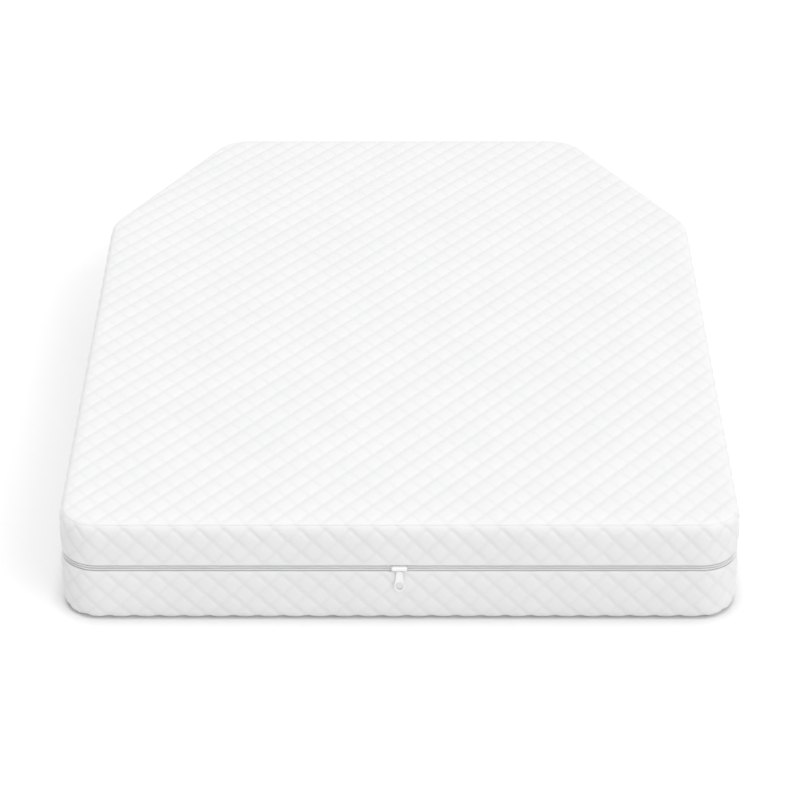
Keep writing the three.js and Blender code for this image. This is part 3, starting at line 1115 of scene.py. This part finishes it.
def plate(name, outlines, front, back, bevel):
    """A flat solid with rounded edges between two depths, from closed outlines in X and Z."""
    curve = bpy.data.curves.new(name, "CURVE")
    curve.dimensions = "2D"
    curve.fill_mode = "BOTH"
    curve.extrude = (back - front) / 2 - bevel
    curve.bevel_depth = bevel
    curve.bevel_resolution = 3
    curve.offset = -bevel
    for outline in outlines:
        spline = curve.splines.new("POLY")
        spline.points.add(len(outline) - 1)
        for point, (x, z) in zip(spline.points, outline):
            point.co = (x, z, 0, 1)
        spline.use_cyclic_u = True
    holder = place_object(name, curve)
    shape = bpy.data.meshes.new_from_object(holder.evaluated_get(bpy.context.evaluated_depsgraph_get()))
    bpy.data.objects.remove(holder)
    bpy.data.curves.remove(curve)
    middle = (front + back) / 2
    for vertex in shape.vertices:
        x, z, out = vertex.co
        vertex.co = (x, middle - out, z)
    shape.name = name
    piece = place_object(name, shape)
    weld(piece)
    return piece


def from_bmesh(name, bm):
    mesh = bpy.data.meshes.new(name)
    bm.to_mesh(mesh)
    bm.free()
    return place_object(name, mesh)


def box_piece(low, high):
    bm = bmesh.new()
    bmesh.ops.create_cube(bm, size=1)
    for vertex in bm.verts:
        vertex.co = [l + (h - l) * (c + 0.5) for l, h, c in zip(low, high, vertex.co)]
    return from_bmesh("box", bm)


def rod_piece(middle, length, radius, bevel):
    """A round bar along X with rounded ends."""
    bm = bmesh.new()
    bmesh.ops.create_cone(bm, cap_ends=True, segments=32, radius1=radius, radius2=radius, depth=length)
    ends = [edge for edge in bm.edges if abs(edge.verts[0].co.z - edge.verts[1].co.z) < 1e-9]
    bmesh.ops.bevel(bm, geom=ends, offset=bevel, segments=3, affect="EDGES", profile=0.5)
    for vertex in bm.verts:
        x, y, z = vertex.co
        vertex.co = middle + Vector((z, y, x))
    bmesh.ops.recalc_face_normals(bm, faces=bm.faces[:])
    return from_bmesh("rod", bm)


def combine(piece, others, operation):
    """Joins other solids to a piece or cuts them from it."""
    for other in others:
        modifier = piece.modifiers.new("cut", "BOOLEAN")
        modifier.operation = operation
        modifier.solver = "EXACT"
        modifier.object = other
    graph = bpy.context.evaluated_depsgraph_get()
    made = bpy.data.meshes.new_from_object(piece.evaluated_get(graph))
    piece.modifiers.clear()
    piece.data = made
    for other in others:
        bpy.data.objects.remove(other)


def finish_hard(piece, material, angle=35):
    """Smooth shading with crisp edges, and a material."""
    piece.data.materials.clear()
    piece.data.materials.append(material)
    piece.data.shade_smooth()
    piece.data.set_sharp_from_angle(angle=math.radians(angle))


def slider_cap():
    bevel = 1.5 * MM
    outline = rounded_rectangle((cap_low.x, cap_low.z), (cap_high.x, cap_high.z), 3 * MM)
    piece = plate("zip_slider_cap_cover", [outline], cap_low.y, cap_high.y + 2 * bevel, bevel)
    reach = cap_high.x * 2
    behind = box_piece((-reach, cap_high.y, 0), (reach, cap_high.y + reach, 2 * PIVOT.z))
    half = PIVOT_LENGTH / 2 + PIVOT_CLEAR
    room = PIVOT_RADIUS + PIVOT_CLEAR
    pocket = box_piece(
        (-half, cap_low.y + CAP_WALL, PIVOT.z - room),
        (half, cap_high.y + bevel, PIVOT.z + room),
    )
    slot = box_piece(
        (-SLOT_WIDTH / 2, cap_low.y - bevel, 0),
        (SLOT_WIDTH / 2, cap_high.y + bevel, PIVOT.z + SLOT_TOP),
    )
    combine(piece, [behind, pocket, slot], "DIFFERENCE")
    finish_hard(piece, lacquer)
    return piece


def pull_outline():
    """The tab's outline from its pivot: two shoulders, edges that flare, and an oval ring."""
    edge = SHOULDER_WIDTH / 2
    corner = 1.5 * MM
    top = -SHOULDER_DROP
    meet = 0.35  # how far over its middle, in radians, the ring takes over from the edges
    meet_x = RING_WIDTH / 2 * math.cos(meet)
    meet_z = -RING_DROP + RING_HEIGHT / 2 * math.sin(meet)
    flare = [
        (meet_x, meet_z),
        (meet_x - 2.2 * MM, meet_z + 9 * MM),
        (edge + 0.8 * MM, top - 14 * MM),
        (edge, top - corner),
    ]
    right = bezier(flare, 10)[1:-1]
    shoulder = arc((edge - corner, top - corner), corner, corner, 0, math.pi / 2, 4)
    ring = arc((0, -RING_DROP), RING_WIDTH / 2, RING_HEIGHT / 2, math.pi - meet, 2 * math.pi + meet, 30)
    mirrored = [(-x, z) for x, z in [*right, *shoulder]][::-1]
    return [*right, *shoulder, *mirrored, *ring]


def pull_tab():
    front, back = PIVOT.y - PULL_THICK / 2, PIVOT.y + PULL_THICK / 2
    outline = [(x, z + PIVOT.z) for x, z in pull_outline()]
    hole = arc((0, PIVOT.z - RING_DROP), HOLE_WIDTH / 2, HOLE_HEIGHT / 2, 0, 2 * math.pi, 36)[:-1]
    piece = plate("zip_pull_ring_tab", [outline, hole[::-1]], front, back, 0.6 * MM)
    tongue_half = SLOT_WIDTH / 2 - PIVOT_CLEAR
    tongue = box_piece(
        (-tongue_half, front + 0.05 * MM, PIVOT.z - SHOULDER_DROP - 1.2 * MM),
        (tongue_half, back - 0.05 * MM, PIVOT.z),
    )
    bar = rod_piece(PIVOT, PIVOT_LENGTH, PIVOT_RADIUS, 0.4 * MM)
    combine(piece, [tongue, bar], "UNION")
    finish_hard(piece, lacquer)
    return piece


cap = slider_cap()
stand_in(cap, "zip_slider", "zip_slider_cap")

pull = pull_tab()
stand_in(pull, "zip_pull", "zip_pull_tab")

# ---- Foam and its sock ----

CORE_EASE = (13 * MM, 22 * MM)  # how far in and how high the core's lower edge is eased


def foam_piece(name, node, material, ease=None, round_edge=2.5 * MM):
    low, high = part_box(node)
    inset = inset_of((low, high))
    section = eased(inset, low.z, high.z, round_edge)
    if ease:
        section = eased_foot(inset, low.z, ease) + section[len(section) // 2:]
    piece = lofted(name, section, material)
    stand_in(piece, "mattress", node)
    return piece


def eased_foot(inset, bottom, ease):
    """The turned-in lower edge of a block, as a quarter of an ellipse."""
    across, up = ease
    turns = [math.pi / 2 * k / 6 for k in range(7)]
    return [(inset + across * (1 - math.sin(t)), bottom + up * (1 - math.cos(t))) for t in turns]


foam_piece(
    "memory_foam",
    "memory_foam_layer",
    foam_finish("memory_foam", (0.7, 0.76, 0.8), 1.1 * MM),
)
foam_piece(
    "transition_foam",
    "transition_foam_layer",
    foam_finish("transition_foam", (0.84, 0.79, 0.64), 1.5 * MM),
)
foam_piece(
    "support_foam",
    "support_foam_core",
    foam_finish("support_foam", (0.87, 0.85, 0.78), 2 * MM),
    CORE_EASE,
)

SOCK_THICK = 1.2 * MM
SOCK_MOUTH = (680 * MM, 60 * MM, 72 * MM)  # half its width, its lowest and its highest point
SEAM_RIDGE = 0.8 * MM


def sock():
    low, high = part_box("fire_barrier_sock")
    inset = inset_of((low, high))
    foot = eased_foot(inset, low.z, CORE_EASE)
    ridge = [
        (inset, high.z - 9 * MM),
        (inset - SEAM_RIDGE, high.z - 6.5 * MM),
        (inset - SEAM_RIDGE, high.z - 4.5 * MM),
        (inset, high.z - 2 * MM),
        (inset + 1.5 * MM, high.z),
    ]
    knit = cloth_finish("sock_knit", (0.8, 0.78, 0.7), 2.2 * MM)
    piece = lofted("fire_barrier_sock_knit", foot + ridge, knit)
    deeper = inset + SOCK_THICK
    inner_foot = eased_foot(deeper, low.z + SOCK_THICK, CORE_EASE)
    hollow = lofted("hollow", [*inner_foot, (deeper, high.z - SOCK_THICK)], knit)
    front = low.y
    half, mouth_low, mouth_high = SOCK_MOUTH
    mouth = box_piece((-half, front - 5 * MM, mouth_low), (half, front + 5 * MM, mouth_high))
    combine(piece, [hollow, mouth], "DIFFERENCE")
    finish_hard(piece, knit)
    return piece


sock_knit = sock()
stand_in(sock_knit, "mattress", "fire_barrier_sock")

# ---- Floor, light and camera ----

FLOOR_SIZE = 28
FLOOR_WHITE = 0.955
PAINTED_SHADOW_GREY = 0.8  # painted contact shadow: the floor's grey right beside the mattress
PAINTED_SHADOW_REACH = 0.25  # how far from the mattress the floor's painted contact shadow reaches


def floor():
    far = FLOOR_SIZE / 2
    mesh = bpy.data.meshes.new("floor")
    corners = [(-far, -far, 0), (far, -far, 0), (far, far, 0), (-far, far, 0)]
    mesh.from_pydata(corners, [], [[0, 1, 2, 3]])
    finish = Finish("floor_paper_painted_shadow", [PAINTED_SHADOW_GREY] * 3, 0.9, Specular_IOR_Level=0)
    # Painted contact shadow: ambient occlusion darkens the floor's colour near the mattress.
    shade = finish.node("ShaderNodeAmbientOcclusion", samples=16)
    shade.inputs["Distance"].default_value = PAINTED_SHADOW_REACH
    finish.tint(shade.outputs["AO"], [FLOOR_WHITE] * 3, 0.4, 1)
    mesh.materials.append(finish.material)
    place_object("floor", mesh)


def sky(strength):
    world = bpy.data.worlds.new("studio")
    world.use_nodes = True
    background = world.node_tree.nodes["Background"]
    background.inputs["Color"].default_value = (1, 1, 1, 1)
    background.inputs["Strength"].default_value = strength
    scene.world = world


def lamp(name, turn, elevation, strength, softness):
    """A broad light from this many degrees to the right of the front, and this high."""
    light = bpy.data.lights.new(name, "SUN")
    light.energy = strength
    light.angle = math.radians(softness)
    holder = place_object(name, light)
    holder.rotation_euler = (math.radians(90 - elevation), 0, math.radians(turn))


CAMERA_PLACE = (0.0013, -5.902, 3.668)  # from where the mattress's outline looks as it should
CAMERA_PITCH = math.radians(31.947)
CAMERA_LENS = 123.09


def camera():
    data = bpy.data.cameras.new("camera")
    data.sensor_width = 36
    data.lens = CAMERA_LENS
    data.clip_end = 60
    eye = place_object("camera", data)
    eye.location = CAMERA_PLACE
    eye.rotation_euler = (math.pi / 2 - CAMERA_PITCH, 0, 0)
    scene.camera = eye


floor()
sky(0.62)
lamp("overhead", turn=0, elevation=90, strength=1.24, softness=20)
lamp("key", turn=50, elevation=35, strength=0.71, softness=40)
camera()
scene.view_settings.view_transform = "Standard"
scene.view_settings.look = "None"
scene.view_settings.exposure = 0
scene.view_settings.gamma = 1
